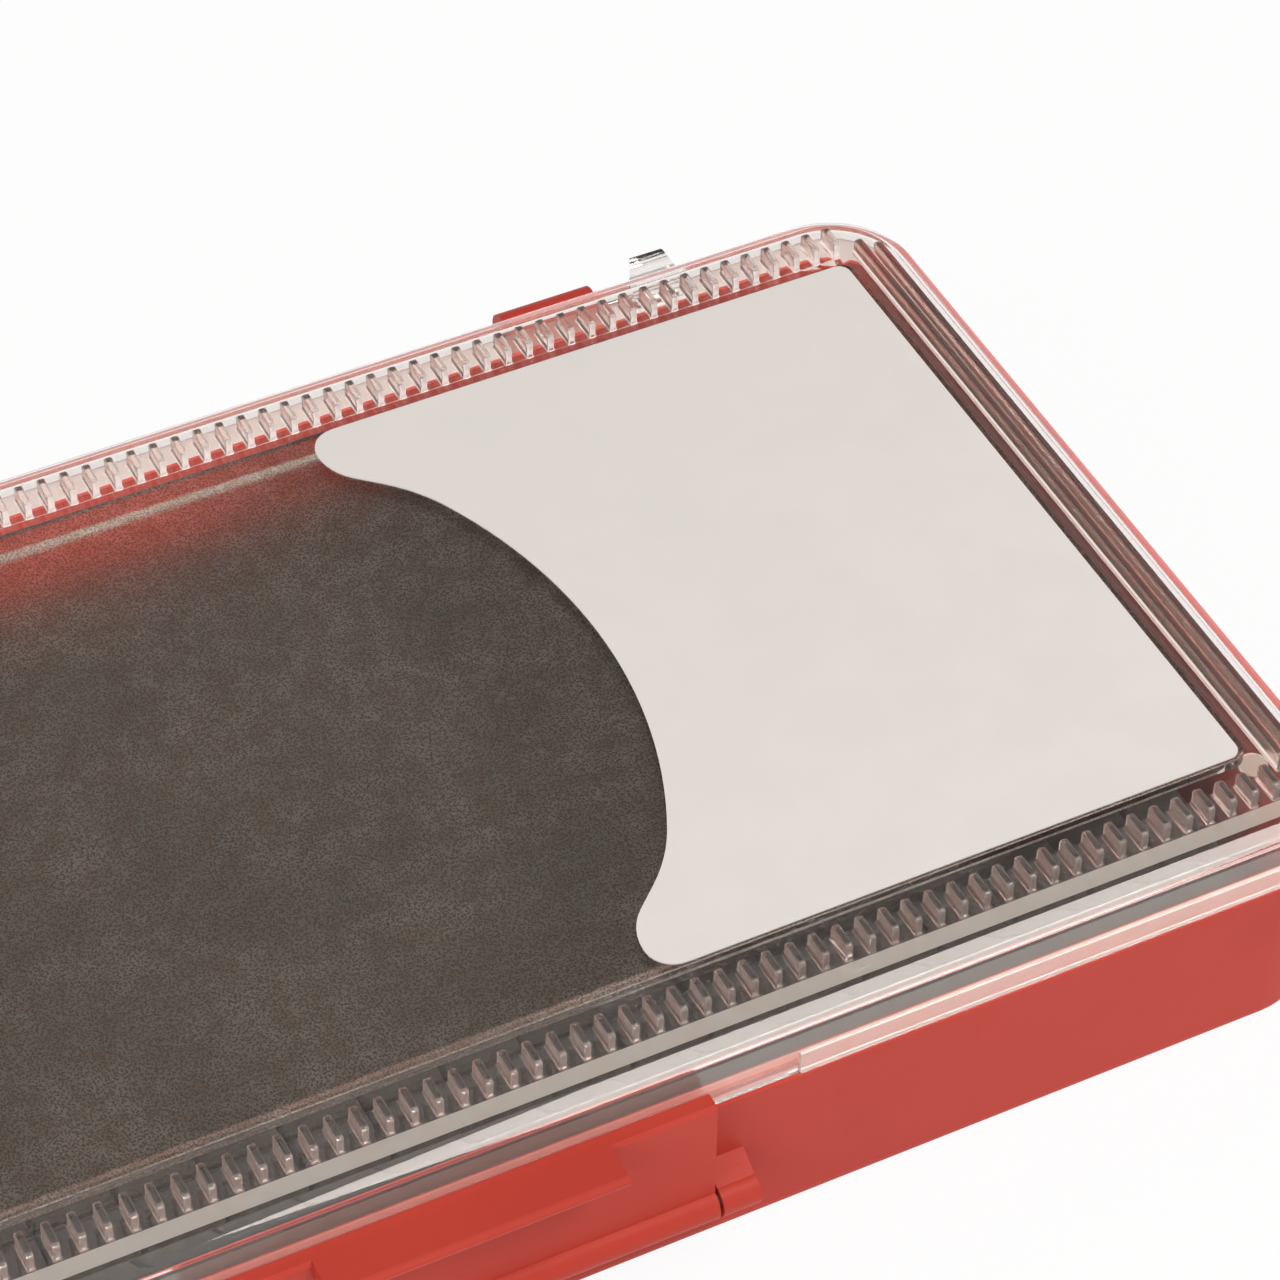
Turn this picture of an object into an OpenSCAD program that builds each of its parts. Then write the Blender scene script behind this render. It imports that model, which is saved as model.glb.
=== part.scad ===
// Slim fly box: a drafted tray with a slit foam mat, a clear ribbed lid on two
// pinned hinges, and one front latch. Millimetres. X runs along the box,
// Y from the latch (-Y) to the hinges (+Y), and Z up from the table.

/* [Box] */
// Length over the lid's flange
box_l = 200; // [170:1:240]
// Width over the lid's flange
box_w = 104.4; // [96:0.2:136]
// Height of the seam between tray and lid
seam_z = 20.3; // [18:0.1:32]
// Plan radius of the flange's corners
corner_r = 10; // [9:0.5:14]

/* [Tray] */
// How far the tray's wall stands inside the flange
tray_inset = 0.3; // [0.1:0.05:0.5]
// Thickness of the tray's wall at the seam
tray_wall = 2.4; // [2.2:0.1:2.8]
// Thickness of the tray's floor
tray_floor = 1.8; // [1.2:0.1:3]
// How much the wall leans in from the seam to the floor
tray_draft = 0.4; // [0:0.05:0.8]
// Radius of the tray's bottom edge
foot_r = 1.6; // [0.8:0.1:2.5]
// Radius inside, between floor and wall
root_r = 1; // [0.5:0.1:1.5]
// Height of the lip that stands up inside the lid's skirt
lip_h = 1.6; // [1:0.1:2]

/* [Lid] */
// Height of the lid's rim plane above the seam
lid_h = 7.2; // [6.6:0.1:10]
// Thickness of the lid's top plate
lid_plate = 1.8; // [1.4:0.1:2.2]
// Thickness of the lid's skirt
skirt_wall = 1.3; // [1.1:0.1:1.5]
// Reach of the flange beyond the skirt
flange_out = 0.4; // [0.3:0.05:0.6]
// Height of the flange
flange_h = 3.1; // [2.6:0.1:3.8]
// Width of the lid's sloped shoulder
shoulder_w = 2.05; // [1.5:0.05:2.6]
// Drop of the lid's sloped shoulder
shoulder_h = 1.2; // [0.8:0.1:1.6]
// Radius inside, between skirt and plate
lid_root_r = 0.8; // [0.3:0.1:1]
// Rise of the centre panel above the rim plane
panel_rise = 1.15; // [0.8:0.05:1.6]
// Margin from the flange's edge to the panel along the long sides
panel_edge_y = 10.6; // [10.2:0.1:16]
// Margin from the flange's edge to the panel at the short ends
panel_edge_x = 8.5; // [8.2:0.1:12]
// Radius of the panel's corners
panel_r = 1.6; // [0.5:0.1:4]

/* [Ribs] */
// Pitch of the short ribs
rib_pitch = 2.5; // [2.2:0.1:5]
// Width of a rib
rib_w = 0.8; // [0.6:0.1:1.2]
// Height of a rib above the rim plane
rib_h = 2.1; // [1.5:0.1:2.4]
// Length of a short rib of the side combs
rib_len = 3.3; // [2.4:0.1:3.6]
// Margin from the flange's edge to the outer end of a short rib
rib_edge = 5.15; // [4.8:0.05:5.4]
// Number of long ribs at each short end
end_ribs = 2; // [1:1:2]
// Margin from the flange's end to the middle of the inner long rib
end_rib_in = 6.3; // [6.1:0.1:6.6]
// Pitch of the long ribs
end_rib_pitch = 1.75; // [1.5:0.05:1.9]
// Margin from the flange's edge to the ends of the inner long rib
end_rib_edge = 8.4; // [8:0.1:14]
// How much the outer long rib stops short of the inner one at each end
end_rib_step = 1.3; // [0:0.1:3]

/* [Pads] */
// Radius of the ejector pads under the lid's front edge
pad_r = 2.4; // [1.5:0.1:3]
// Radius of the ejector pads in the lid's front corners
corner_pad_r = 1.5; // [1:0.1:1.8]
// Thickness of the ejector pads
pad_h = 0.4; // [0.2:0.1:0.8]
// Distance of the inner pads from the middle
pad_x = 44.8; // [30:0.1:60]
// Margin from the flange's edge to the middle of the inner pads
pad_edge = 7; // [6:0.1:9]
// Distance of the corner pads from the end of the flange
corner_pad_end = 7.7; // [7:0.1:8]
// Margin from the flange's edge to the middle of the corner pads
corner_pad_edge = 11; // [8:0.1:12]

/* [Label] */
// Thickness of the label
label_t = 0.15; // [0.05:0.05:0.2]
// Gap between the label and the panel's long edges
label_gap = 0.3; // [0.1:0.1:1]
// Gap between the label and the panel's short edge
label_end_gap = 0.7; // [0.1:0.1:1.5]
// Length of the label at its middle, up to the wave
label_l = 49.5; // [40:0.5:60]
// Radius of the wave's main arc
wave_r = 57; // [50:1:70]
// Radius of the wave's outer arcs
wave_turn_r = 20; // [15:1:25]
// Radius of the wave's return to the label's tips
wave_tip_r = 6.2; // [4:0.1:8]
// Radius of the label's tips
tip_r = 3; // [1:0.1:3.5]
// Steepest slope of the wave, in degrees off the label's straight end
wave_lean = 48; // [40:1:55]
// Length of the wave's straight run at that slope
wave_run = 3.2; // [2:0.1:5]
// Radius of the label's square corners
label_r = 1.3; // [0.5:0.1:3]

/* [Foam] */
// Thickness of the foam mat
foam_t = 10; // [6:0.5:12]
// Thickness of the adhesive film under the mat
film_t = 0.2; // [0.1:0.05:0.4]
// Gap between the mat and the tray's end walls
foam_end_gap = 5.5; // [2:0.5:20]
// Gap between the mat and the tray's long walls
foam_side_gap = 1.5; // [1.2:0.1:4]
// Plan radius of the mat's corners
foam_r = 4; // [1:0.5:6]
// Number of rows of slits
slit_rows = 3; // [2:1:4]
// Pitch of the slits along a row
slit_pitch = 8.5; // [6:0.5:12]
// Length of a slit
slit_len = 14; // [8:0.5:20]
// Width of a slit's mouth
slit_w = 0.8; // [0.5:0.1:1.5]
// Depth of a slit
slit_depth = 5; // [3:0.5:5.5]

/* [Hinges] */
// Distance of the hinge axis beyond the flange's edge, at the height of the seam
hinge_out = 3.9; // [3.5:0.1:5]
// Radius of the tray's knuckle
knuckle_r = 2.2; // [1.8:0.1:2.5]
// Length of the tray's knuckle
knuckle_l = 11.2; // [6:0.1:14]
// Radius of the lid lug's barrel
lug_r = 2.5; // [2:0.1:2.7]
// Distance of the lug's outer end from the end of the flange
hinge_inset = 23.1; // [14:0.1:40]
// Width of the lid's lug at its foot
lug_w = 7.4; // [6:0.1:9]
// How much the lug narrows on its inner side
lug_taper = 3.6; // [1:0.1:4]
// Gap between the knuckle and the foot of the lid's lug
lug_space = 2.3; // [1:0.1:4]
// Radius of the hinge pins and of the latch pin
pin_r = 0.8; // [0.6:0.05:0.9]

/* [Latch] */
// Width of the latch
latch_w = 52; // [40:1:58]
// Width of the gap in the lid's flange
latch_bay = 72; // [70:1:76]
// Thickness of the latch plate
latch_t = 2.1; // [1.8:0.1:2.4]
// Height of the latch's pivot
latch_z = 9; // [7:0.1:11]
// Radius of the latch's barrel and of the tray's ears
ear_r = 1.8; // [1.6:0.05:1.9]
// Width of an ear
ear_w = 4; // [3:0.1:4]
// Reach of the lid's catch bead beyond the skirt
catch_out = 0.5; // [0.3:0.05:0.6]
// Height of the catch bead
catch_h = 0.7; // [0.5:0.05:0.9]
// Width of the finger lip
lip_w = 30; // [20:1:36]
// Thickness of the finger lip
lip_t = 1.2; // [1:0.1:1.6]
// Radius of the hollow under the finger lip
lip_root_r = 1.6; // [1:0.1:2]

/* [Fits] */
// Gap between tray and lid at the seam
seam_gap = 0.2; // [0.1:0.05:0.3]
// Gap between the tray's lip and the lid's skirt
skirt_gap = 0.25; // [0.15:0.05:0.4]
// Radial clearance of a pin in its bore
pin_gap = 0.05; // [0.02:0.01:0.1]
// Gap between the latch and the parts that it passes
latch_gap = 0.1; // [0.05:0.05:0.2]
// Gap between the latch and each ear
ear_gap = 0.4; // [0.2:0.1:0.6]
// Gap between the lugs or the latch and the tray's wall
wall_gap = 0.25; // [0.2:0.05:0.4]
// How far a pin's ends lie inside the bores
pin_end = 0.4; // [0.2:0.1:1]

/* [Hidden] */
$fn = 64;

// Every ring runs round the same four corner centres. Its profile is drawn in (u, z),
// where u is the distance outward from a corner centre.
cx = box_l / 2 - corner_r;
cy = box_w / 2 - corner_r;
u_flange = corner_r;
u_skirt = u_flange - flange_out;
u_skirt_in = u_skirt - skirt_wall;
u_lip = u_skirt_in - skirt_gap;
u_tray = u_flange - tray_inset;
u_bore = u_tray - tray_wall;
u_foot = u_tray - tray_draft;
u_bore_foot = u_bore - tray_draft;

rim_z = seam_z + lid_h;
under_z = rim_z - lid_plate;
panel_z = rim_z + panel_rise;
tray_top = seam_z - seam_gap;

edge_r = 0.35;   // small moulded edge radius
lap = 0.4;       // overlap of solids that are moulded as one
pivot_in = 0.5;  // how far the latch's pivot lies inside its outer face
groove_d = 0.2;  // depth of the latch's groove for the catch bead
bead_slope = 0.25;  // height of the slope under the catch bead
film_in = 1;     // how far the adhesive film stops short of the mat's edge
label_run = 0.2; // straight part of the label's edge beside its tips
arc_n = 6;       // steps of a short arc
wave_n = 14;     // steps of the label's long arc

lid_core = u_skirt - shoulder_w - 1;
tray_core = u_bore_foot - root_r - 1;

panel_hx = box_l / 2 - panel_edge_x;
panel_hy = box_w / 2 - panel_edge_y;

// The hinge axis lies at the height of the seam
hinge_y = box_w / 2 + hinge_out;
lug_x1 = box_l / 2 - hinge_inset;
lug_x = lug_x1 - lug_w;
knuckle_x1 = lug_x - lug_space;
knuckle_x = knuckle_x1 - knuckle_l;
tray_face_y = cy + u_tray;
wall_in_y = tray_face_y - tray_wall / 2;

catch_y = cy + u_skirt + catch_out;
catch_z = seam_z + flange_h / 2;
latch_in = max(tray_face_y + wall_gap, catch_y + latch_gap);
latch_out = latch_in + latch_t;
latch_y = pivot_in - latch_out;
latch_top = catch_z + catch_h + latch_gap + groove_d + 2 * edge_r;
// The finger lip reaches as far out in front as the hinge lugs do behind
lip_y = -(hinge_y + lug_r);

function arc(c, r, a0, a1, n = arc_n) =
    [for (i = [0:n]) let (a = a0 + (a1 - a0) * i / n) c + r * [cos(a), sin(a)]];

// A profile in (u, z) carried round the rounded rectangle
module ring() {
    for (q = [0:3]) {
        along_x = q % 2;
        rotate(90 * q) translate([along_x ? cy : cx, 0, 0]) rotate([90, 0, 0])
            linear_extrude(2 * (along_x ? cx : cy), center = true) children();
        corner = [[cx, cy], [-cx, cy], [-cx, -cy], [cx, -cy]][q];
        translate(corner) rotate(90 * q) rotate_extrude(angle = 90) children();
    }
}

// A flat plate with half sizes hx and hy and true arcs of radius r at its corners
module plate(hx, hy, r, h) {
    translate([-hx, r - hy, 0]) cube([2 * hx, 2 * (hy - r), h]);
    translate([r - hx, -hy, 0]) cube([2 * (hx - r), 2 * hy, h]);
    for (x = [-1, 1], y = [-1, 1]) translate([x * (hx - r), y * (hy - r), 0]) cylinder(r = r, h = h);
}

// A profile in (y, z) carried along X from x0 to x1
module along(x0, x1) {
    translate([x0, 0, 0]) rotate([90, 0, 90]) linear_extrude(x1 - x0) children();
}

// A round bar or bore along X from x0 to x1, centred at y and z
module bar(x0, x1, y, z, r) {
    translate([x0, y, z]) rotate([0, 90, 0]) cylinder(r = r, h = x1 - x0);
}

module both_ends() {
    children();
    mirror([1, 0, 0]) children();
}

module tray_profile() {
    polygon(concat(
        [[tray_core, 0]],
        arc([u_foot - foot_r, foot_r], foot_r, -90, 0),
        [[u_tray, tray_top - edge_r], [u_tray - edge_r, tray_top],
         [u_lip, tray_top], [u_lip, seam_z + lip_h - edge_r], [u_lip - edge_r, seam_z + lip_h],
         [u_bore, seam_z + lip_h]],
        arc([u_bore_foot - root_r, tray_floor + root_r], root_r, 0, -90),
        [[tray_core, tray_floor]]));
}

module lid_profile() {
    polygon(concat(
        [[lid_core, under_z]],
        arc([u_skirt_in - lid_root_r, under_z - lid_root_r], lid_root_r, 90, 0),
        [[u_skirt_in, seam_z]],
        arc([u_flange - edge_r, seam_z + edge_r], edge_r, -90, 0, 3),
        arc([u_flange - edge_r, seam_z + flange_h - edge_r], edge_r, 0, 90, 3),
        [[u_skirt, seam_z + flange_h], [u_skirt, rim_z - shoulder_h - edge_r],
         [u_skirt - edge_r / 2, rim_z - shoulder_h], [u_skirt - shoulder_w, rim_z], [lid_core, rim_z]]));
}

// One knuckle of the tray with its bore, and its gusset down the wall
module knuckle() {
    foot = [hinge_y, seam_z - knuckle_r];
    difference() {
        union() {
            bar(knuckle_x, knuckle_x1, hinge_y, seam_z, knuckle_r);
            along(knuckle_x, knuckle_x1) polygon([
                [wall_in_y, tray_top], [hinge_y, tray_top], foot,
                [wall_in_y, foot[1] - (foot[0] - wall_in_y)]]);
        }
        bar(knuckle_x - lap, knuckle_x1 + lap, hinge_y, seam_z, pin_r + pin_gap);
    }
}

// One ear of the tray that carries the latch pin, with its web sloping up the wall
module ear() {
    x0 = latch_w / 2 + ear_gap;
    web_a = 150;
    web_top = latch_z + 2.2 * ear_r;
    difference() {
        union() {
            bar(x0, x0 + ear_w, latch_y, latch_z, ear_r);
            along(x0, x0 + ear_w) polygon([
                [-wall_in_y, latch_z - ear_r], [latch_y, latch_z - ear_r], [latch_y, latch_z],
                [latch_y, latch_z] + ear_r * [cos(web_a), sin(web_a)], [-wall_in_y, web_top]]);
        }
        bar(x0 - lap, x0 + ear_w + lap, latch_y, latch_z, pin_r + pin_gap);
    }
}

module base_tray() color([0.64, 0.12, 0.09]) {
    ring() tray_profile();
    plate(cx + tray_core + lap, cy + tray_core + lap, tray_core + lap, tray_floor);
    both_ends() {
        knuckle();
        ear();
    }
}

// A thin upright rib along Y with round ends, standing on the rim plane
module rib(len) {
    translate([0, 0, rim_z - lap]) {
        translate([-rib_w / 2, (rib_w - len) / 2, 0]) cube([rib_w, len - rib_w, rib_h + lap]);
        for (s = [-1, 1])
            translate([0, s * (len - rib_w) / 2, 0]) cylinder(r = rib_w / 2, h = rib_h + lap, $fn = 24);
    }
}

module lid_ribs() {
    comb_n = floor(panel_hx / rib_pitch + 0.5);
    comb_y = box_w / 2 - rib_edge - rib_len / 2;
    for (i = [1:comb_n], side = [-1, 1], s = [-1, 1])
        translate([side * (i - 0.5) * rib_pitch, s * comb_y, 0]) rib(rib_len);
    for (i = [0:end_ribs - 1], side = [-1, 1])
        translate([side * (box_l / 2 - end_rib_in + i * end_rib_pitch), 0, 0])
            rib(box_w - 2 * (end_rib_edge + i * end_rib_step));
}

// One round pad under the lid's plate, where an ejector pin of the mould has pressed
module pad(x, edge, r) {
    translate([x, edge - box_w / 2, under_z - pad_h]) cylinder(r = r, h = pad_h + lap);
}

// One clear lug of the lid: it reaches back from the flange and drops round the pin
module lug() {
    nose_x = lug_x + lug_taper;
    nose_y = hinge_y + lug_r;
    foot_y = cy + u_skirt - lap;
    bevel = 2 * edge_r;
    difference() {
        union() {
            bar(nose_x, lug_x1, hinge_y, seam_z, lug_r);
            translate([0, 0, seam_z]) linear_extrude(flange_h)
                polygon([[lug_x, foot_y], [nose_x, nose_y], [lug_x1 - bevel, nose_y],
                         [lug_x1, nose_y - bevel], [lug_x1, foot_y]]);
        }
        bar(lug_x - lap, lug_x1 + lap, hinge_y, seam_z, pin_r + pin_gap);
    }
}

module clear_lid() color([0.86, 0.83, 0.80, 0.35]) {
    difference() {
        union() {
            ring() lid_profile();
            translate([0, 0, under_z])
                plate(cx + lid_core + lap, cy + lid_core + lap, lid_core + lap, lid_plate);
            translate([0, 0, under_z]) plate(panel_hx, panel_hy, panel_r, panel_z - under_z);
        }
        translate([0, 0, under_z - lap])
            plate(panel_hx - lid_plate, panel_hy - lid_plate, panel_r, panel_rise + lap);
        translate([-latch_bay / 2, -box_w / 2 - lap, seam_z - lap])
            cube([latch_bay, flange_out + lap, flange_h + lap]);
    }
    along(-latch_bay / 2, latch_bay / 2) polygon([
        [-catch_y, catch_z + bead_slope], [-catch_y, catch_z + catch_h],
        [-(cy + u_skirt) + lap, catch_z + catch_h], [-(cy + u_skirt) + lap, catch_z],
        [-(cy + u_skirt), catch_z]]);
    lid_ribs();
    both_ends() {
        lug();
        pad(pad_x, pad_edge, pad_r);
        pad(box_l / 2 - corner_pad_end, corner_pad_edge, corner_pad_r);
    }
}

// Section of the latch in (y, z): a plate on its barrel, with a groove for the catch bead
module latch_profile() {
    low = catch_z - latch_gap;
    high = catch_z + catch_h + latch_gap;
    polygon([
        [-latch_in, latch_z], [-latch_in, low - groove_d], [-latch_in - groove_d, low],
        [-latch_in - groove_d, high], [-latch_in, high + groove_d],
        [-latch_in, latch_top - edge_r], [-latch_in - edge_r, latch_top],
        [-latch_out + lap, latch_top], [-latch_out, latch_top - lap], [-latch_out, latch_z]]);
}

// Section of the finger lip: a tongue with a round end, hollowed below where it meets the plate
module finger_profile() {
    root_z = latch_top - lip_t - lip_root_r;
    polygon(concat(
        [[-latch_out + lap, root_z], [-latch_out + lap, latch_top]],
        arc([lip_y + lip_t / 2, latch_top - lip_t / 2], lip_t / 2, 90, 270),
        arc([-latch_out - lip_root_r, root_z], lip_root_r, 90, 0)));
}

module front_latch() color([0.64, 0.12, 0.09])
    difference() {
        union() {
            along(-latch_w / 2, latch_w / 2) latch_profile();
            along(-lip_w / 2, lip_w / 2) finger_profile();
            bar(-latch_w / 2, latch_w / 2, latch_y, latch_z, ear_r);
        }
        bar(-latch_w / 2 - lap, latch_w / 2 + lap, latch_y, latch_z, pin_r + pin_gap);
    }

module hinge_pin_right() color([0.75, 0.76, 0.78])
    bar(knuckle_x + pin_end, lug_x1 - pin_end, hinge_y, seam_z, pin_r);

module hinge_pin_left() mirror([1, 0, 0]) hinge_pin_right();

module latch_pin() color([0.75, 0.76, 0.78]) {
    half = latch_w / 2 + ear_gap + ear_w - pin_end;
    bar(-half, half, latch_y, latch_z, pin_r);
}

foam_hx = cx + u_bore - foam_end_gap;
foam_hy = cy + u_bore - foam_side_gap;
foam_z = tray_floor + film_t;

module foam_mat() color([0.11, 0.11, 0.11])
    translate([0, 0, foam_z]) difference() {
        plate(foam_hx, foam_hy, foam_r, foam_t);
        row_pitch = 2 * foam_hy / slit_rows;
        per_row = floor((2 * foam_hx - slit_pitch / 2) / slit_pitch);
        for (i = [0:per_row - 1], j = [0:slit_rows - 1])
            translate([(i - (per_row - 1) / 2) * slit_pitch, (j - (slit_rows - 1) / 2) * row_pitch,
                       foam_t - slit_depth])
                translate([-slit_w / 2, -slit_len / 2, 0]) cube([slit_w, slit_len, slit_depth + 1]);
    }

module foam_adhesive() color([0.72, 0.70, 0.64])
    translate([0, 0, tray_floor]) plate(foam_hx - film_in, foam_hy - film_in, foam_r, film_t);

// Outline of the upper half of the label's waved edge, from the middle to the tip at height y1.
// The main arc is as long as the rest of the wave leaves room for.
function wave_half(x0, y1) =
    let (rest = tip_r + label_run + (wave_turn_r + wave_tip_r) * sin(wave_lean) + wave_run * cos(wave_lean),
         a1 = asin(max(0.05, min(0.6, (y1 - rest) / (wave_r - wave_turn_r)))),
         c1 = [x0 - wave_r, 0],
         c2 = c1 + (wave_r - wave_turn_r) * [cos(a1), sin(a1)],
         p2 = c2 + wave_turn_r * [cos(wave_lean), sin(wave_lean)],
         p3 = p2 + wave_run * [-sin(wave_lean), cos(wave_lean)],
         c3 = p3 + wave_tip_r * [cos(wave_lean), sin(wave_lean)],
         c4 = [c3[0] - wave_tip_r + tip_r, y1 - tip_r])
    concat(arc(c1, wave_r, 0, a1, wave_n), arc(c2, wave_turn_r, a1, wave_lean),
           arc(c3, wave_tip_r, 180 + wave_lean, 180), arc(c4, tip_r, 180, 90));

module label() color([0.89, 0.87, 0.85]) {
    x1 = panel_hx - label_end_gap;
    y1 = panel_hy - label_gap;
    half = concat(wave_half(x1 - label_l, y1), arc([x1 - label_r, y1 - label_r], label_r, 90, 0));
    other = [for (i = [len(half) - 1:-1:1]) [half[i][0], -half[i][1]]];
    translate([0, 0, panel_z]) linear_extrude(label_t) polygon(concat(half, other));
}

base_tray();
clear_lid();
front_latch();
hinge_pin_left();
hinge_pin_right();
latch_pin();
foam_mat();
foam_adhesive();
label();
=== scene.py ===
import math

import bmesh
import bpy
from mathutils import Matrix, Vector
from mathutils.geometry import delaunay_2d_cdt


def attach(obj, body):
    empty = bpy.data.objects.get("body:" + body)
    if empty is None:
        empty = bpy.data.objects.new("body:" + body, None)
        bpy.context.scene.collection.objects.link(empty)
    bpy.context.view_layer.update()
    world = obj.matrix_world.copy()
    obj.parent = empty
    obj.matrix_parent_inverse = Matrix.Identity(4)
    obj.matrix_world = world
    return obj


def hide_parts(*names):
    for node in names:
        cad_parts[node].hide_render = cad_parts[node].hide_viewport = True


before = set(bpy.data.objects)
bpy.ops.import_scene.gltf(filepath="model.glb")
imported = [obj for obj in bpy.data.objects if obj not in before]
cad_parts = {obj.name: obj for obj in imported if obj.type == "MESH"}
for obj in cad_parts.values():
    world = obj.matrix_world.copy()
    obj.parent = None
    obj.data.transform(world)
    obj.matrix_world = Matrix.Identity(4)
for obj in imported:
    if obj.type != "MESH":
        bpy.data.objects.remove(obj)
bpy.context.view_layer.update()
MM = 0.001

# ---------------------------------------------------------------- camera

# The point that the camera looks at, on the plane of the label
AIM = Vector((44.54, -1.1, 28.8)) * MM
# The camera looks along +Y, turned towards +X and tipped down, in degrees
VIEW_TURN, VIEW_DROP, VIEW_ROLL = 27.05, 45.0, 0.70
VIEW_AWAY = 462.6 * MM
LENS = 129.2
NEAREST_SEEN = 0.01


def make_camera():
    turn, drop = math.radians(VIEW_TURN), math.radians(VIEW_DROP)
    look = Vector((math.sin(turn) * math.cos(drop),
                   math.cos(turn) * math.cos(drop),
                   -math.sin(drop)))
    camera = bpy.data.objects.new("camera", bpy.data.cameras.new("camera"))
    camera.data.lens = LENS
    camera.data.clip_start = NEAREST_SEEN
    level = look.to_track_quat("-Z", "Y").to_matrix().to_4x4()
    roll = Matrix.Rotation(math.radians(VIEW_ROLL), 4, "Z")
    camera.matrix_world = Matrix.Translation(AIM - look * VIEW_AWAY) @ level @ roll
    bpy.context.scene.collection.objects.link(camera)
    bpy.context.scene.camera = camera


# ---------------------------------------------------------------- sizes in mm, as the solids have them

CORNER_X, CORNER_Y = 90.0, 42.2      # centres of the plan's corners
SEAM_Z, FLANGE_TOP, UNDER_Z, SHOULDER_Z, RIM_Z = 20.3, 23.4, 25.7, 26.3, 27.5
# How far the walls stand outside the corner centres
U_SHOULDER, U_INSIDE, U_SKIRT, U_FLANGE = 7.55, 8.3, 9.6, 10.0
PANEL_X, PANEL_Y, PANEL_R = 91.5, 41.6, 1.6
PANEL_Z = 28.63                      # just clear of the label that lies on it
PANEL_CHAMFER = 0.1
PLATE = 1.8                          # thickness of the lid's top
BAY, BAY_SLOPE = 36.0, 0.04          # half width of the gap in the flange, and half the run of its ends

COMB_X, COMB_Y, COMB_R = 96.1, 47.25, 4.5      # the flat that the ribs stand on
RIB_PITCH, RIB_W, RIB_LEN, RIB_Y, RIBS_PER_SIDE = 2.5, 0.8, 3.3, 45.4, 37
RIB_TOP, RIB_END_R, RIB_CORNER = 29.6, 0.5, 0.2
END_RIBS = ((93.7, 43.8), (95.45, 42.5))       # place and half length of the long ribs
# A rib's root, as (how far out, how far up). Its first step is too steep to be shaded smooth,
# so that the flat round it stays flat.
RIB_ROOT = ((0.12, 0), (0.05, 0.06), (0, 0.15))
# A rib's rounded back, as (degrees round its ends, how far its sides draw in)
RIB_BACK = ((0, 0), (25, 0), (50, 0), (70, 0.03), (90, 0.12))

HINGE_Y, LUG_R = 56.1, 2.5
LUG_X0, LUG_X1, LUG_TAPER = 69.5, 76.9, 3.6
BORE_R, BORE_LEN, BORE_START = 0.85, 10.0, 1.0
CATCH_Z, CATCH_OUT, CATCH_H = 21.85, 0.5, 0.7
SUNK = 0.4                           # how far a joined piece reaches into the wall
PAD_H = 0.8

FOAM_X, FOAM_Y, FOAM_R = 91.8, 48.0, 4.0
FOAM_Z0, FOAM_Z1 = 2.0, 12.0
SLIT_COLUMNS, SLIT_ROWS, SLIT_PITCH, SLIT_LEN, SLIT_DEPTH = 21, 3, 8.5, 14.0, 5.0
# The mat's edge from the bottom up, as (how far in, height)
FOAM_EDGE = ((0.5, FOAM_Z0), (0.12, FOAM_Z0 + 0.15), (0, FOAM_Z0 + 0.5), (0, FOAM_Z1 - 0.9),
             (0.12, FOAM_Z1 - 0.45), (0.45, FOAM_Z1 - 0.12), (0.9, FOAM_Z1))
# A slit from its lips down, as (half width, how much shorter at each end, depth)
SLIT_WALLS = ((0.7, 0.0, 0.0), (0.34, 0.3, 0.22), (0.16, 0.5, 0.8), (0.05, 1.0, SLIT_DEPTH))

# The lid's finishes, in the order of its material slots
CLEAR, FROSTED, HAZY, CLOUDY, MILKY = 0, 1, 2, 3, 4
FRONT_SIDE_Y = -46.0                 # what lies before this is the lid's front side
# The round pads under the lid, as (X to either side, Y, radius, finish)
PADS = ((44.8, -45.2, 2.4, CLEAR), (92.3, -41.2, 1.5, MILKY))

CORNER_STEPS, RIB_STEPS, BEND_STEPS, LUG_STEPS, DRUM_STEPS, SLIT_END_STEPS = 14, 3, 3, 16, 32, 4
SMOOTH_BELOW, FOAM_SMOOTH_BELOW = 34, 40       # degrees between faces that shade as one


# ---------------------------------------------------------------- shaping

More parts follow.
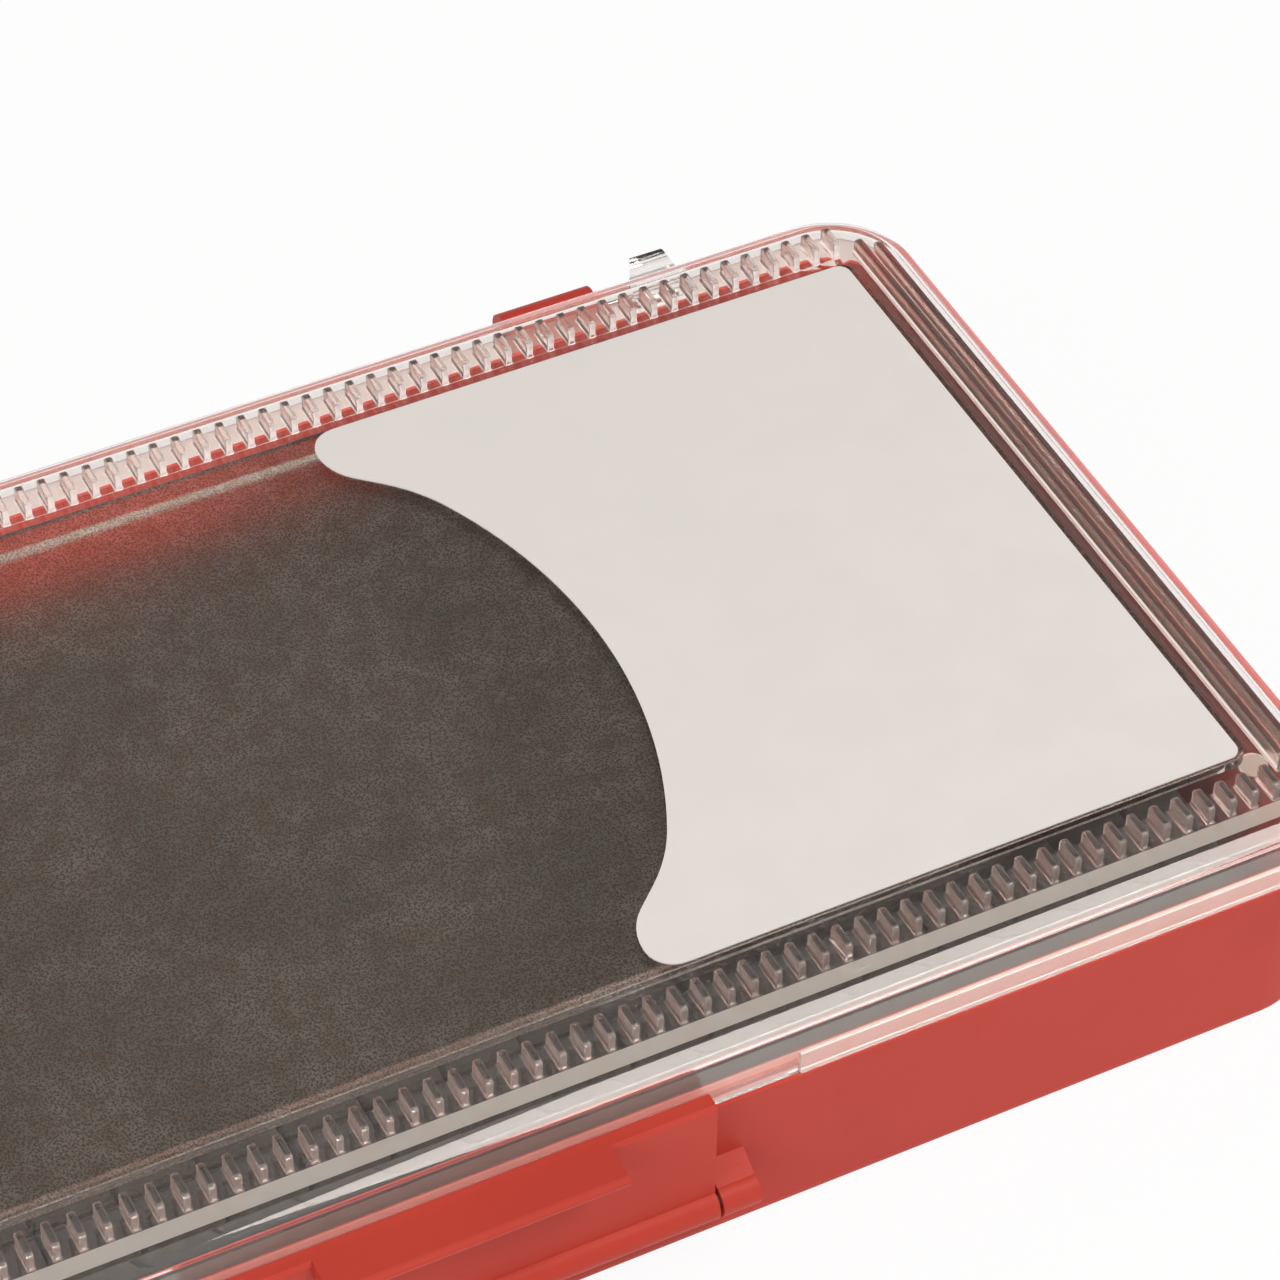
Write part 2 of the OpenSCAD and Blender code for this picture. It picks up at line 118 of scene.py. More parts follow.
class Form:
    """A closed skin of loops of points, in millimetres, with a material slot for each face.
    A slot is a number, or a function that gives the number for a point."""

    def __init__(self):
        self.points, self.faces, self.slots = [], [], []

    def loop(self, places):
        start = len(self.points)
        self.points.extend(places)
        return list(range(start, len(self.points)))

    def face(self, corners, slot=0):
        self.faces.append(corners)
        self.slots.append(slot(self.points[corners[0]]) if callable(slot) else slot)

    def band(self, a, b, slot=0):
        for i in range(len(a)):
            j = (i + 1) % len(a)
            self.face((a[i], a[j], b[j], b[i]), slot)

    def stack(self, loops, slot=0):
        for a, b in zip(loops, loops[1:]):
            self.band(a, b, slot)

    def between(self, edge, islands, slot=0):
        """Fills the flat ring between an outer loop and the loops that stand inside it."""
        rings = [edge] + islands
        flat = [i for ring in rings for i in ring]
        owner, edges = [], []
        for n, ring in enumerate(rings):
            start = len(owner)
            owner += [n] * len(ring)
            edges += [(start + k, start + (k + 1) % len(ring)) for k in range(len(ring))]
        spots = [Vector(self.points[i][:2]) for i in flat]
        _, _, triangles, source, _, _ = delaunay_2d_cdt(spots, edges, [], 0, 1e-7)
        for t in triangles:
            ids = [source[v][0] for v in t]
            within_an_island = len({owner[i] for i in ids}) == 1 and owner[ids[0]] > 0
            if not within_an_island:
                self.face([flat[i] for i in ids], slot)

    def piece(self, name, materials, smooth_below=SMOOTH_BELOW):
        """Makes the skin a Blender object in metres."""
        mesh = bpy.data.meshes.new(name)
        mesh.from_pydata([Vector(p) * MM for p in self.points], [], self.faces)
        for m in materials:
            mesh.materials.append(m)
        mesh.polygons.foreach_set("material_index", self.slots)
        obj = bpy.data.objects.new(name, mesh)
        bpy.context.scene.collection.objects.link(obj)
        face_outward(mesh)
        smooth_shade(mesh, smooth_below)
        return obj


def face_outward(mesh):
    b = bmesh.new()
    b.from_mesh(mesh)
    bmesh.ops.remove_doubles(b, verts=b.verts, dist=1e-7)
    bmesh.ops.recalc_face_normals(b, faces=b.faces)
    b.to_mesh(mesh)
    b.free()


def smooth_shade(mesh, degrees):
    mesh.shade_smooth()
    mesh.set_sharp_from_angle(angle=math.radians(degrees))


def rounded_plan(x, y, half_x, half_y, r, z, steps):
    """A rectangle round (x, y) with round corners, anticlockwise from its front right corner."""
    places = []
    for k, (sx, sy) in enumerate(((1, -1), (1, 1), (-1, 1), (-1, -1))):
        for i in range(steps + 1):
            a = math.radians(-90 + 90 * k + 90 * i / steps)
            places.append((x + sx * (half_x - r) + r * math.cos(a),
                           y + sy * (half_y - r) + r * math.sin(a), z))
    return places


def box_outline(half_x, half_y, r, z, front=None):
    """A rounded plan of the box. Four more points on its front side mark the ends of the latch's
    bay, and front, if given, is how far out that side lies within the bay."""
    inner = -half_y if front is None else -front
    bay = [(-BAY - BAY_SLOPE, -half_y, z), (-BAY + BAY_SLOPE, inner, z),
           (BAY - BAY_SLOPE, inner, z), (BAY + BAY_SLOPE, -half_y, z)]
    return rounded_plan(0, 0, half_x, half_y, r, z, CORNER_STEPS) + bay


def lid_outline(u, z):
    """The lid's plan, u outside the corner centres. The flange is cut back to the skirt in the bay."""
    in_bay = CORNER_Y + U_SKIRT if u > U_SKIRT else None
    return box_outline(CORNER_X + u, CORNER_Y + u, u, z, in_bay)


def softened(corners):
    """A polyline in (u, z) whose corners, given as (u, z, radius), are rounded."""
    out = []
    for i, (u, z, r) in enumerate(corners):
        here = Vector((u, z))
        if r == 0 or i in (0, len(corners) - 1):
            out.append(here)
            continue
        back = (Vector(corners[i - 1][:2]) - here).normalized()
        on = (Vector(corners[i + 1][:2]) - here).normalized()
        half = back.angle(on) / 2
        reach = r / math.tan(half)
        centre = here + (back + on).normalized() * (r / math.sin(half))
        a, b = here + back * reach - centre, here + on * reach - centre
        for k in range(BEND_STEPS + 1):
            out.append(centre + r * a.slerp(b, k / BEND_STEPS))
    return [(p.x, p.y) for p in out]


def slit_outline(x, y, half_w, half_len, z):
    """A narrow loop along Y with round ends."""
    places = []
    for side in (1, -1):
        for i in range(SLIT_END_STEPS + 1):
            a = math.radians(180 * i / SLIT_END_STEPS) + (0 if side > 0 else math.pi)
            places.append((x + half_w * math.cos(a),
                           y + side * (half_len - half_w) + half_w * math.sin(a), z))
    return places


def prism(profile, x_of_low, x_high, slot):
    """A closed bar along X with a profile in (y, z). x_of_low gives its low end for each y."""
    form = Form()
    low = form.loop([(x_of_low(y), y, z) for y, z in profile])
    high = form.loop([(x_high, y, z) for y, z in profile])
    form.band(low, high, slot)
    form.face(low, slot)
    form.face(high, slot)
    return form


def drum(start, axis, r, length, slot=0):
    """A closed round bar that runs from start along x or z."""
    form = Form()
    x, y, z = start
    ends = []
    for t in (0, length):
        places = []
        for i in range(DRUM_STEPS):
            a = 2 * math.pi * i / DRUM_STEPS
            c, s = r * math.cos(a), r * math.sin(a)
            places.append((x + t, y + c, z + s) if axis == "x" else (x + c, y + s, z + t))
        ends.append(form.loop(places))
    form.band(*ends, slot)
    form.face(ends[0], slot)
    form.face(ends[1], slot)
    return form


def cut_or_join(obj, forms, operation):
    """Joins closed forms to a piece, or cuts them out of it, and takes the helpers away."""
    for n, form in enumerate(forms):
        helper = form.piece("helper_%d" % n, list(obj.data.materials))
        m = obj.modifiers.new("cut", "BOOLEAN")
        m.operation, m.solver, m.object = operation, "EXACT", helper
        keep_result(obj)
        bpy.data.objects.remove(helper)


def keep_result(obj):
    """Makes the result of a piece's modifiers its own mesh."""
    worked = obj.evaluated_get(bpy.context.evaluated_depsgraph_get())
    shape = bpy.data.meshes.new_from_object(worked)
    old = obj.data
    obj.modifiers.clear()
    obj.data = shape
    name = old.name
    bpy.data.meshes.remove(old)
    shape.name = name


# ---------------------------------------------------------------- the moulded lid

def front_painted_lighter(finish):
    """Painted light: only the lid's front side gets this finish, so that it looks lighter where the
    light falls. The other sides are clear there.
    """
    return lambda point: finish if point[1] < FRONT_SIDE_Y else CLEAR


# The lid's wall from the rim over the shoulder, skirt, flange and seam to the underside, each
# stretch with its finish, as (distance outside the corner centres, height, radius of the corner)
RIM_BORDER, UNDER_BORDER = 0.6, 1.7
SKIRT_CLEAR_TO, SKIRT_CLOUDY_TO, FLANGE_MILKY_TO = SHOULDER_Z - 0.4, FLANGE_TOP + 0.2, SEAM_Z + 0.4
LID_WALL = (
    (CLEAR, ((U_SHOULDER - RIM_BORDER, RIM_Z, 0), (U_SHOULDER, RIM_Z, 0.5),
             (U_SKIRT, SHOULDER_Z, 0.45), (U_SKIRT, SKIRT_CLEAR_TO, 0))),
    # Painted light: the skirt is cloudy on the front side only, to look lighter there.
    (front_painted_lighter(CLOUDY), ((U_SKIRT, SKIRT_CLEAR_TO, 0), (U_SKIRT, SKIRT_CLOUDY_TO, 0))),
    (MILKY, ((U_SKIRT, SKIRT_CLOUDY_TO, 0), (U_SKIRT, FLANGE_TOP, 0.1),
             (U_FLANGE, FLANGE_TOP, 0.15), (U_FLANGE, FLANGE_MILKY_TO, 0))),
    (CLEAR, ((U_FLANGE, FLANGE_MILKY_TO, 0), (U_FLANGE, SEAM_Z, 0.25), (U_INSIDE, SEAM_Z, 0.15),
             (U_INSIDE, UNDER_Z, 0.8), (U_INSIDE - UNDER_BORDER, UNDER_Z, 0))))


def rib_standing(form, x, y, half_len):
    """An upright rib on the rim's flat: its root, straight walls, and a back that rounds off at
    both ends. Returns the loop of its foot."""
    def ring(out_w, out_len, z):
        return form.loop(rounded_plan(x, y, RIB_W / 2 + out_w, half_len + out_len,
                                      RIB_CORNER, z, RIB_STEPS))

    walls = [ring(out, out, RIM_Z + up) for out, up in RIB_ROOT]
    for degrees, draw_in in RIB_BACK:
        a = math.radians(degrees)
        walls.append(ring(-draw_in, -RIB_END_R * (1 - math.cos(a)),
                          RIB_TOP - RIB_END_R + RIB_END_R * math.sin(a)))
    form.stack(walls, HAZY)
    form.face(walls[-1], CLEAR)
    return walls[0]


def lid_skin():
    form = Form()
    rings = []
    for finish, corners in LID_WALL:
        joint = rings[-1:]
        stretch = joint + [form.loop(lid_outline(u, z))
                           for u, z in softened(corners)[len(joint):]]
        form.stack(stretch, finish)
        rings += stretch

    recess = [form.loop(box_outline(PANEL_X - PLATE, PANEL_Y - PLATE, PANEL_R, z))
              for z in (UNDER_Z, PANEL_Z - PLATE)]
    form.stack([rings[-1], recess[0]])
    form.stack(recess, FROSTED)
    form.face(recess[-1])

    feet = []
    for i in range(RIBS_PER_SIDE):
        for x in ((i + 0.5) * RIB_PITCH, -(i + 0.5) * RIB_PITCH):
            for y in (RIB_Y, -RIB_Y):
                feet.append(rib_standing(form, x, y, RIB_LEN / 2))
    for x, half_len in END_RIBS:
        for side in (1, -1):
            feet.append(rib_standing(form, side * x, 0, half_len))

    panel = [form.loop(box_outline(PANEL_X - d, PANEL_Y - d, PANEL_R - d, z))
             for d, z in ((0, RIM_Z), (0, PANEL_Z - PANEL_CHAMFER), (PANEL_CHAMFER, PANEL_Z))]
    comb = form.loop(box_outline(COMB_X, COMB_Y, COMB_R, RIM_Z))
    # Painted light: the band round the ribs is milky on the front side only, to look lighter there.
    form.band(rings[0], comb, front_painted_lighter(MILKY))
    form.between(comb, feet + [panel[0]])
    form.stack(panel[:2])
    form.stack(panel[1:], FROSTED)
    form.face(panel[-1], FROSTED)
    return form


def hinge_lug(side):
    """One clear lug, from the flange over the pin, narrower at its nose."""
    foot = CORNER_Y + U_SKIRT - SUNK
    nose = HINGE_Y + LUG_R
    round_under = [(HINGE_Y + LUG_R * math.cos(a), SEAM_Z + LUG_R * math.sin(a))
                   for a in (math.radians(-180 * i / LUG_STEPS) for i in range(LUG_STEPS + 1))]
    top = [(foot, SEAM_Z), (foot, FLANGE_TOP - 0.1), (foot + 0.9, FLANGE_TOP - 0.02),
           (nose - 0.8, FLANGE_TOP - 0.02), (nose - 0.25, FLANGE_TOP - 0.22), (nose, FLANGE_TOP - 0.8)]
    form = prism(top + round_under,
                 lambda y: LUG_X0 + LUG_TAPER * (y - foot) / (nose - foot), LUG_X1, CLEAR)
    form.points = [(side * x, y, z) for x, y, z in form.points]
    return form


def catch_bead():
    """The bead along the bay that the latch closes over, sloped on its underside."""
    wall = -(CORNER_Y + U_SKIRT)
    top = CATCH_Z + CATCH_H
    profile = [(wall - CATCH_OUT, CATCH_Z + 0.25), (wall - CATCH_OUT + 0.05, top - 0.05),
               (wall + SUNK, top), (wall + SUNK, CATCH_Z), (wall, CATCH_Z)]
    end = BAY - 0.2
    return prism(profile, lambda y: -end, end, CLOUDY)


def moulded_lid():
    lid = lid_skin().piece("moulded_lid", [lid_clear, lid_frosted, lid_ribs, lid_cloudy, lid_milky])
    joined = [hinge_lug(1), hinge_lug(-1), catch_bead()]
    for x, y, r, finish in PADS:
        joined += [drum((side * x, y, UNDER_Z - PAD_H / 2), "z", r, PAD_H, finish)
                   for side in (1, -1)]
    cut_or_join(lid, joined, "UNION")
    bores = [drum((x, HINGE_Y, SEAM_Z), "x", BORE_R, BORE_LEN)
             for x in (LUG_X0 - BORE_START, -LUG_X0 + BORE_START - BORE_LEN)]
    cut_or_join(lid, bores, "DIFFERENCE")
    smooth_shade(lid.data, SMOOTH_BELOW)
    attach(lid, "lid")
    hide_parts("clear_lid")


# ---------------------------------------------------------------- the foam mat

def slit_foam():
    """The foam mat: round edges and rows of knife slits whose lips stand a little open."""
    form = Form()
    edge = [form.loop(box_outline(FOAM_X - d, FOAM_Y - d, FOAM_R - d, z)) for d, z in FOAM_EDGE]
    form.stack(edge)
    form.face(edge[0])
    mouths = []
    row_pitch = 2 * FOAM_Y / SLIT_ROWS
    for i in range(SLIT_COLUMNS):
        for j in range(SLIT_ROWS):
            x = (i - (SLIT_COLUMNS - 1) / 2) * SLIT_PITCH
            y = (j - (SLIT_ROWS - 1) / 2) * row_pitch
            slit = [form.loop(slit_outline(x, y, half_w, SLIT_LEN / 2 - shorter, FOAM_Z1 - depth))
                    for half_w, shorter, depth in SLIT_WALLS]
            form.stack(slit)
            form.face(slit[-1])
            mouths.append(slit[0])
    form.between(edge[-1], mouths)
    foam = form.piece("slit_foam", [foam_charcoal], FOAM_SMOOTH_BELOW)
    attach(foam, "base")
    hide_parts("foam_mat")


# ---------------------------------------------------------------- nodes

MM_PER_M, CM_PER_M = 1000.0, 100.0
# The Mix node's sockets, whose names repeat
MIX_SHARE, MIX_NUMBERS, MIX_COLOURS = 0, (2, 3), (6, 7)
MIX_NUMBER_OUT, MIX_COLOUR_OUT = 0, 2


def add(tree, kind, feeds=None, **settings):
    """Adds a node. feeds holds its inputs, each a plain value or another node's output."""
    node = tree.nodes.new(kind)
    for key, value in settings.items():
        setattr(node, key, value)
    for key, value in (feeds or {}).items():
        if isinstance(value, bpy.types.NodeSocket):
            tree.links.new(value, node.inputs[key])
        else:
            node.inputs[key].default_value = value
    return node


def maths(tree, operation, *numbers):
    return add(tree, "ShaderNodeMath", dict(enumerate(numbers)), operation=operation).outputs[0]


def mixed_colour(tree, share, a, b):
    """A colour that goes from a to b as the share goes from 0 to 1."""
    low, high = MIX_COLOURS
    mix = add(tree, "ShaderNodeMix", {MIX_SHARE: share, low: a, high: b}, data_type="RGBA")
    return mix.outputs[MIX_COLOUR_OUT]


def new_group(name, inputs, outputs):
    """A node group with these inputs, each a name and its usual number or colour, and these
    outputs, each a name and its kind. Returns the group and the sockets that bring its inputs."""
    group = bpy.data.node_groups.new(name, "ShaderNodeTree")
    for key, value in inputs.items():
        kind = "NodeSocketColor" if isinstance(value, tuple) else "NodeSocketFloat"
        socket = group.interface.new_socket(name=key, in_out="INPUT", socket_type=kind)
        socket.default_value = value
    for key, kind in outputs.items():
        group.interface.new_socket(name=key, in_out="OUTPUT", socket_type=kind)
    return group, add(group, "NodeGroupInput").outputs


# ---------------------------------------------------------------- effects that several materials share

def fine_grain_effect():
    """Fine even pits and grains of a moulded or sprayed surface: a height from 0 to 1, and a mask
    of the pits."""
    g, given = new_group("fine_grain", {"Grain per mm": 4.0, "Pits": 0.35},
                         {"Height": "NodeSocketFloat", "Pit mask": "NodeSocketFloat"})
    place = add(g, "ShaderNodeTexCoord").outputs["Object"]
    per_m = maths(g, "MULTIPLY", given["Grain per mm"], MM_PER_M)
    fine = add(g, "ShaderNodeTexNoise",
               {"Vector": place, "Scale": per_m, "Detail": 2.0, "Roughness": 0.6})
    cells = add(g, "ShaderNodeTexVoronoi", {"Vector": place, "Scale": per_m})
    low, high = MIX_NUMBERS
    mix = add(g, "ShaderNodeMix", {MIX_SHARE: 0.35, low: fine.outputs["Fac"],
                                   high: cells.outputs["Distance"]}, data_type="FLOAT")
    height = mix.outputs[MIX_NUMBER_OUT]
    pit_floor = maths(g, "SUBTRACT", given["Pits"], 0.12)
    pits = add(g, "ShaderNodeMapRange", {"Value": height, "From Min": pit_floor,
                                         "From Max": given["Pits"], "To Min": 1.0, "To Max": 0.0})
    add(g, "NodeGroupOutput", {"Height": height, "Pit mask": pits.outputs[0]})
    return g


def mottle_effect():
    """Soft uneven patches: a colour that goes towards a second one where a slow noise is high."""
    grey, dark_grey = (0.5, 0.5, 0.5, 1), (0.4, 0.4, 0.4, 1)
    g, given = new_group("mottle", {"Color": grey, "Patch color": dark_grey,
                                    "Patches per cm": 1.0, "Amount": 0.5},
                         {"Color": "NodeSocketColor"})
    place = add(g, "ShaderNodeTexCoord").outputs["Object"]
    per_m = maths(g, "MULTIPLY", given["Patches per cm"], CM_PER_M)
    slow = add(g, "ShaderNodeTexNoise", {"Vector": place, "Scale": per_m, "Detail": 4.0})
    patches = add(g, "ShaderNodeMapRange",
                  {"Value": slow.outputs["Fac"], "From Min": 0.4, "From Max": 0.62})
    share = maths(g, "MULTIPLY", patches.outputs[0], given["Amount"])
    add(g, "NodeGroupOutput",
        {"Color": mixed_colour(g, share, given["Color"], given["Patch color"])})
    return g


def handling_effect():
    """Roughness as handling leaves it: faint smears, and hairline scuffs that run one way."""
    g, given = new_group("handling", {"Roughness": 0.3, "Smear": 0.05, "Scuff": 0.05},
                         {"Roughness": "NodeSocketFloat"})
    place = add(g, "ShaderNodeTexCoord").outputs["Object"]
    smear = add(g, "ShaderNodeTexNoise",
                {"Vector": place, "Scale": 45.0, "Detail": 3.0, "Distortion": 0.8})
    stretch = add(g, "ShaderNodeMapping", {"Vector": place, "Rotation": (0.2, 0.3, 0.5),
                                           "Scale": (1.0, 14.0, 1.0)})
    scuff = add(g, "ShaderNodeTexNoise",
                {"Vector": stretch.outputs[0], "Scale": 220.0, "Detail": 2.0})
    hairlines = add(g, "ShaderNodeMapRange",
                    {"Value": scuff.outputs["Fac"], "From Min": 0.62, "From Max": 0.7})
    smeared = maths(g, "MULTIPLY_ADD", smear.outputs["Fac"], given["Smear"], given["Roughness"])
    scuffed = maths(g, "MULTIPLY_ADD", hairlines.outputs[0], given["Scuff"], smeared)
    add(g, "NodeGroupOutput", {"Roughness": scuffed})
    return g


fine_grain, mottle, handling = fine_grain_effect(), mottle_effect(), handling_effect()


# ---------------------------------------------------------------- materials

def material(name, **sockets):
    """A new material with these plain values on its shader, with _ for a space. Returns the
    material, its node tree and its shader."""
    m = bpy.data.materials.new(name)
    m.use_nodes = True
    shader = m.node_tree.nodes["Principled BSDF"]
    for key, value in sockets.items():
        shader.inputs[key.replace("_", " ")].default_value = value
    return m, m.node_tree, shader


def effect(tree, group, **values):
    """Places an effect in a material with its own values, with _ for a space."""
    feeds = {key.replace("_", " "): value for key, value in values.items()}
    return add(tree, "ShaderNodeGroup", feeds, node_tree=group)


def coloured(tree, shader, colour):
    tree.links.new(colour, shader.inputs["Base Color"])


def handled(tree, shader, rough, smear, scuff):
    feel = effect(tree, handling, Roughness=rough, Smear=smear, Scuff=scuff)
    tree.links.new(feel.outputs["Roughness"], shader.inputs["Roughness"])


def bumped(tree, shader, height, depth_mm, strength):
    bump = add(tree, "ShaderNodeBump",
               {"Distance": depth_mm * MM, "Strength": strength, "Height": height})
    tree.links.new(bump.outputs[0], shader.inputs["Normal"])


def mottled(tree, colour, patch, per_cm, amount):
    tint = effect(tree, mottle, Color=(*colour, 1), Patch_color=(*patch, 1),
                  Patches_per_cm=per_cm, Amount=amount)
    return tint.outputs["Color"]


def lets_lamps_through(tree, shader, shade):
    """Clear plastic lets the lamps' light through to what lies under it."""
    path = add(tree, "ShaderNodeLightPath")
    clear = add(tree, "ShaderNodeBsdfTransparent", {"Color": (*shade, 1)})
    mix = add(tree, "ShaderNodeMixShader", {0: path.outputs["Is Shadow Ray"],
                                            1: shader.outputs[0], 2: clear.outputs[0]})
    tree.links.new(mix.outputs[0], tree.nodes["Material Output"].inputs[0])


def red_plastic(name, grain, smear):
    """Satin red moulding: even colour, a fine spark-eroded grain, faint smears."""
    m, t, shader = material(name, Specular_IOR_Level=0.2, IOR=1.5)
    coloured(t, shader, mottled(t, (0.52, 0.052, 0.034), (0.48, 0.046, 0.030), 0.5, 0.7))
    handled(t, shader, 0.42, smear, 0.04)
    grains = effect(t, fine_grain, Grain_per_mm=grain)
    bumped(t, shader, grains.outputs["Height"], 0.02, 0.5)
    return m


def clear_plastic(name, milk, rough, tint, patch, shade):
    """Clear moulded plastic. Milk is the share of light that it scatters, as tool marks and
    handling do. Only where it is strong does the light also spread below the surface."""
    m, t, shader = material(name, Transmission_Weight=1 - milk, IOR=1.5,
                            Subsurface_Weight=1.0 if milk > 0.1 else 0.0,
                            Subsurface_Radius=(1.0, 0.88, 0.8), Subsurface_Scale=0.0016)
    coloured(t, shader, mottled(t, tint, patch, 3.0, 0.7))
    handled(t, shader, rough, 0.02, 0.02)
    grains = effect(t, fine_grain, Grain_per_mm=3.0)
    bumped(t, shader, grains.outputs["Height"], 0.01, milk)
    lets_lamps_through(t, shader, shade)
    return m


def frosted_clear():
    """The centre panel: clear plastic with an etched top, of fine dark grain, grey haze and warm
    cloudy patches."""
    m, t, shader = material("lid_frosted", Transmission_Weight=0.925, IOR=1.5,
                            Specular_IOR_Level=0.4)
    grains = effect(t, fine_grain, Grain_per_mm=4.4, Pits=0.55)
    haze = mottled(t, (0.98, 0.86, 0.76), (0.60, 0.58, 0.55), 0.7, 0.8)
    cloud = effect(t, mottle, Color=haze, Patch_color=(0.62, 0.48, 0.37, 1),
                   Patches_per_cm=3.5, Amount=0.75)
    speck = (0.27, 0.215, 0.175, 1)
    coloured(t, shader,
             mixed_colour(t, grains.outputs["Pit mask"], cloud.outputs["Color"], speck))
    handled(t, shader, 0.26, 0.10, 0.03)
    bumped(t, shader, grains.outputs["Height"], 0.05, 0.6)
    lets_lamps_through(t, shader, (0.92, 0.90, 0.88))
    return m


def charcoal_foam():
    """Closed-cell foam: dark, dead matte, with small open cells at its cut faces, whose hollows are
    darkened with painted shade.
    """
    m, t, shader = material("foam_charcoal", Specular_IOR_Level=0.2,
                            Sheen_Weight=0.08, Sheen_Roughness=0.6)
    tint = mottled(t, (0.021, 0.019, 0.017), (0.031, 0.027, 0.023), 1.2, 0.8)
    cells = effect(t, fine_grain, Grain_per_mm=1.6, Pits=0.45)
    # Painted shade: the cells' hollows are coloured darker than the foam.
    painted_cell_shade = (0.012, 0.011, 0.010, 1)
    coloured(t, shader, mixed_colour(t, cells.outputs["Pit mask"], tint, painted_cell_shade))
    handled(t, shader, 0.88, 0.08, 0.0)
    bumped(t, shader, cells.outputs["Height"], 0.25, 0.9)
    return m


def label_stock():
    """Satin label stock: warm white, very faint fibre and unevenness."""
    m, t, shader = material("label_stock", Specular_IOR_Level=0.35)
    coloured(t, shader, mottled(t, (0.81, 0.785, 0.76), (0.79, 0.77, 0.75), 1.5, 0.9))
    handled(t, shader, 0.42, 0.08, 0.03)
    fibre = effect(t, fine_grain, Grain_per_mm=3.0)
    bumped(t, shader, fibre.outputs["Height"], 0.01, 0.35)
    return m


def drawn_steel():
    """Bright drawn wire with fine scuffs."""
    m, t, shader = material("drawn_steel", Metallic=1.0)
    coloured(t, shader, mottled(t, (0.62, 0.61, 0.60), (0.50, 0.49, 0.48), 8.0, 0.6))
    handled(t, shader, 0.24, 0.1, 0.15)
    return m


def adhesive_film():
    """Yellowish film under the foam, thicker in patches."""
    m, t, shader = material("adhesive_film", Specular_IOR_Level=0.4)
    coloured(t, shader, mottled(t, (0.55, 0.52, 0.45), (0.50, 0.46, 0.38), 1.0, 0.8))
    handled(t, shader, 0.5, 0.1, 0.0)
    return m


lid_clear = clear_plastic("lid_clear", milk=0.015, rough=0.02, tint=(0.97, 0.94, 0.92),
                          patch=(0.94, 0.91, 0.89), shade=(0.95, 0.945, 0.94))
# The ribs' pink tint is painted colour: it stands in for the red tray seen through them, which clear
# plastic does not have itself.
lid_ribs = clear_plastic("lid_ribs", milk=0.12, rough=0.12, tint=(0.98, 0.76, 0.69),
                         patch=(0.93, 0.69, 0.61), shade=(0.92, 0.90, 0.89))
lid_cloudy = clear_plastic("lid_cloudy", milk=0.18, rough=0.09, tint=(0.95, 0.86, 0.80),
                           patch=(0.90, 0.80, 0.74), shade=(0.92, 0.90, 0.89))
lid_milky = clear_plastic("lid_milky", milk=0.44, rough=0.12, tint=(0.97, 0.88, 0.82),
                          patch=(0.94, 0.83, 0.76), shade=(0.90, 0.88, 0.87))
lid_frosted = frosted_clear()
foam_charcoal = charcoal_foam()


def dress_cad_nodes():
    pin = drawn_steel()
    dress = {"base_tray": red_plastic("tray_red", grain=4.0, smear=0.08),
             "front_latch": red_plastic("latch_red", grain=5.0, smear=0.12),
             "clear_lid": lid_clear, "foam_mat": foam_charcoal,
             "foam_adhesive": adhesive_film(), "label": label_stock(),
             "hinge_pin_left": pin, "hinge_pin_right": pin, "latch_pin": pin}
    for name, m in dress.items():
        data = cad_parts[name].data
        data.materials.clear()
        data.materials.append(m)


# ---------------------------------------------------------------- floor and light, in metres

FLOOR_SIZE, FLOOR_WHITE = 4.0, 0.93            # the share of plain white that is seen over the floor
ROOM_LIGHT, ROOM_COLOUR = 0.40, (1.0, 0.99, 0.98, 1)
# The key hangs where the lid's front shoulder mirrors it to the camera
KEY_AT, KEY_TOWARDS, KEY_SIZE = (0.40, -0.40, 0.79), (0.06, -0.04, 0.02), (0.42, 0.30)
KEY_RADIANCE, KEY_COLOUR = 12.0, (1.0, 0.91, 0.84)
FILL_AT, FILL_TOWARDS, FILL_SIZE = (-0.75, -0.35, 0.42), (0.0, 0.0, 0.02), (0.60, 0.50)
FILL_RADIANCE, FILL_COLOUR = 3.2, (0.96, 0.98, 1.0)
CARD_SIZE, CARD_AWAY, CARD_WAY = 1.5, 1.1, (0.32, 0.63, 0.71)


def seen_white(tree, share):
    """The share of plain white that the camera, and what gloss and glass show, see over what
    is lit. Other rays see none of it."""
    path = add(tree, "ShaderNodeLightPath").outputs
    seen = maths(tree, "MAXIMUM", path["Is Camera Ray"], path["Is Glossy Ray"])
    seen = maths(tree, "MAXIMUM", seen, path["Is Transmission Ray"])
    return maths(tree, "MULTIPLY", seen, share)


def make_floor():
    bpy.ops.mesh.primitive_plane_add(size=FLOOR_SIZE)
    floor = bpy.context.object
    floor.name = "floor"
    m, t, shader = material("floor_white", Base_Color=(0.92, 0.92, 0.92, 1), Roughness=0.8,
                            Specular_IOR_Level=0.2)
    glow = add(t, "ShaderNodeEmission")
    mix = add(t, "ShaderNodeMixShader",
              {0: seen_white(t, FLOOR_WHITE), 1: shader.outputs[0], 2: glow.outputs[0]})
    t.links.new(mix.outputs[0], t.nodes["Material Output"].inputs[0])
    floor.data.materials.append(m)


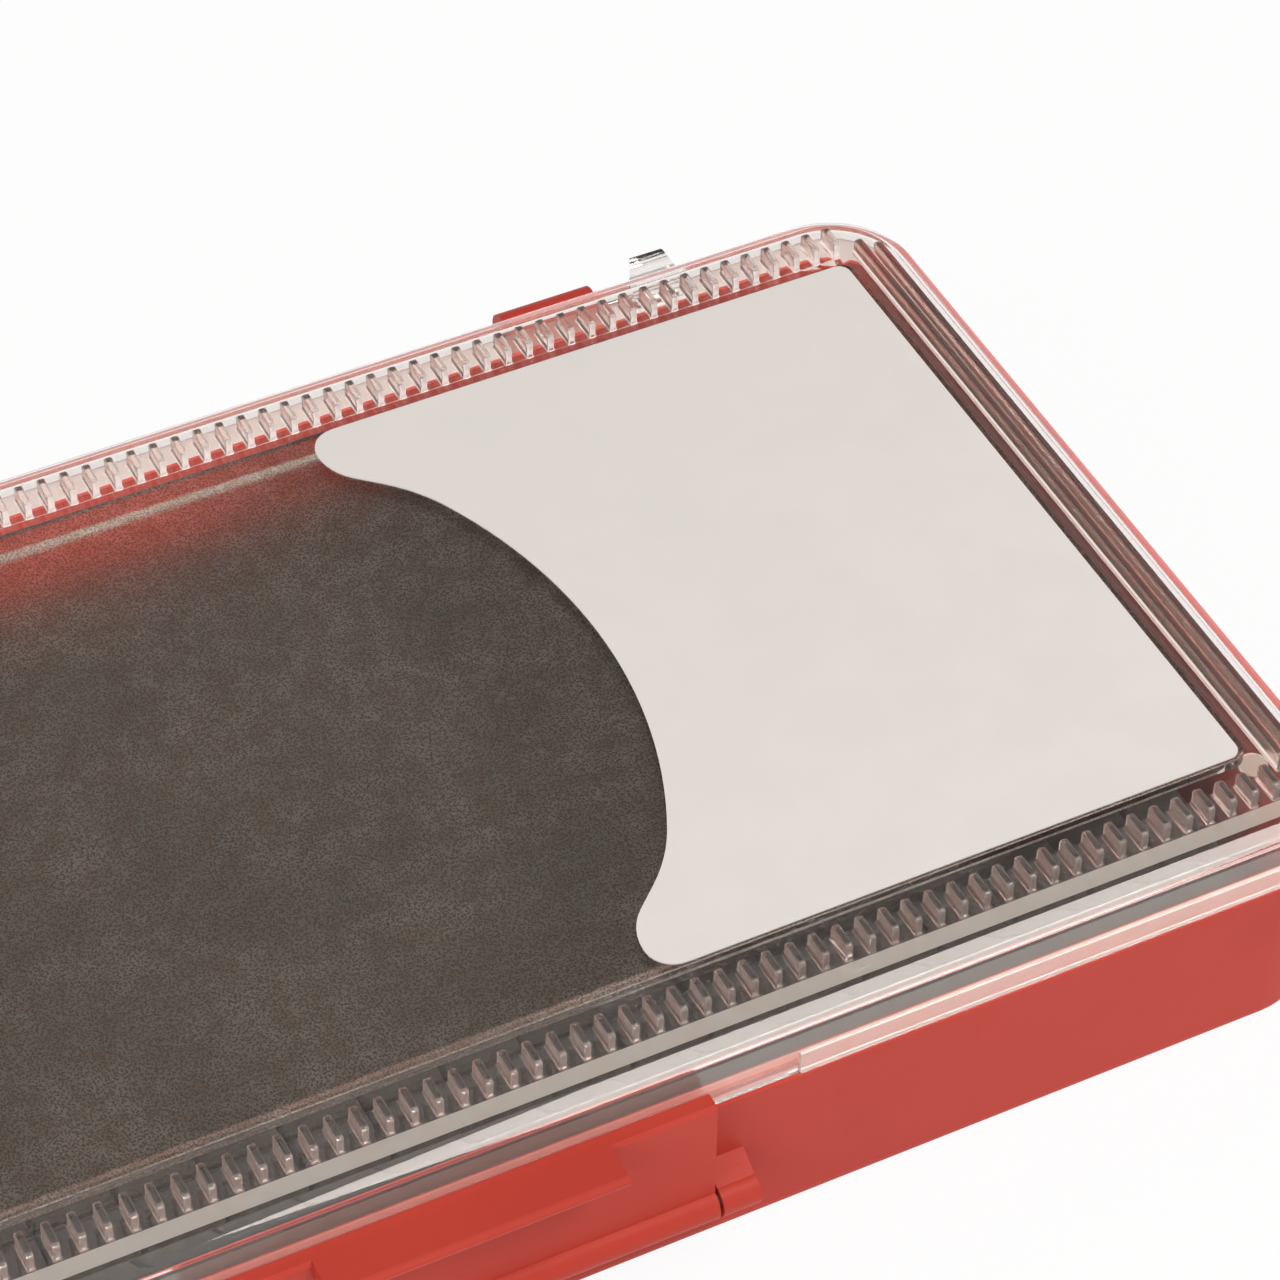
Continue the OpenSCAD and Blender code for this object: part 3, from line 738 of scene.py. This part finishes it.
def softbox(name, at, towards, size, radiance, colour):
    lamp = bpy.data.lights.new(name, "AREA")
    lamp.shape = "RECTANGLE"
    lamp.size, lamp.size_y = size
    lamp.energy = radiance * math.pi * size[0] * size[1]
    lamp.color = colour
    o = bpy.data.objects.new(name, lamp)
    o.location = at
    o.rotation_mode = "QUATERNION"
    o.rotation_quaternion = (Vector(towards) - Vector(at)).to_track_quat("-Z", "Y")
    bpy.context.scene.collection.objects.link(o)


def dark_flag():
    """A matt black card behind the box and above it. Only gloss sees it, so that the panel and
    the backs of the ribs mirror something dark, as in a darkened room."""
    bpy.ops.mesh.primitive_plane_add(size=CARD_SIZE)
    card = bpy.context.object
    card.name = "dark_flag"
    way = Vector(CARD_WAY).normalized()
    card.rotation_mode = "QUATERNION"
    card.rotation_quaternion = way.to_track_quat("Z", "Y")
    card.location = way * CARD_AWAY
    m, _, _ = material("card_black", Base_Color=(0.02, 0.02, 0.02, 1), Roughness=0.9,
                       Specular_IOR_Level=0.1)
    card.data.materials.append(m)
    card.visible_camera = card.visible_diffuse = False
    card.visible_transmission = card.visible_shadow = False


def make_room():
    world = bpy.data.worlds.new("studio")
    bpy.context.scene.world = world
    world.use_nodes = True
    t = world.node_tree
    room = t.nodes["Background"]
    room.inputs["Color"].default_value = ROOM_COLOUR
    room.inputs["Strength"].default_value = ROOM_LIGHT
    white = add(t, "ShaderNodeBackground", {"Color": (1, 1, 1, 1)})
    mix = add(t, "ShaderNodeMixShader",
              {0: seen_white(t, 1.0), 1: room.outputs[0], 2: white.outputs[0]})
    t.links.new(mix.outputs[0], t.nodes["World Output"].inputs[0])
    softbox("key", KEY_AT, KEY_TOWARDS, KEY_SIZE, KEY_RADIANCE, KEY_COLOUR)
    softbox("fill", FILL_AT, FILL_TOWARDS, FILL_SIZE, FILL_RADIANCE, FILL_COLOUR)
    dark_flag()


make_camera()
dress_cad_nodes()
moulded_lid()
slit_foam()
make_floor()
make_room()
bpy.context.scene.view_settings.view_transform = "Standard"


def corners(box):
    return [[round(float(v), 6) for v in corner] for corner in box]
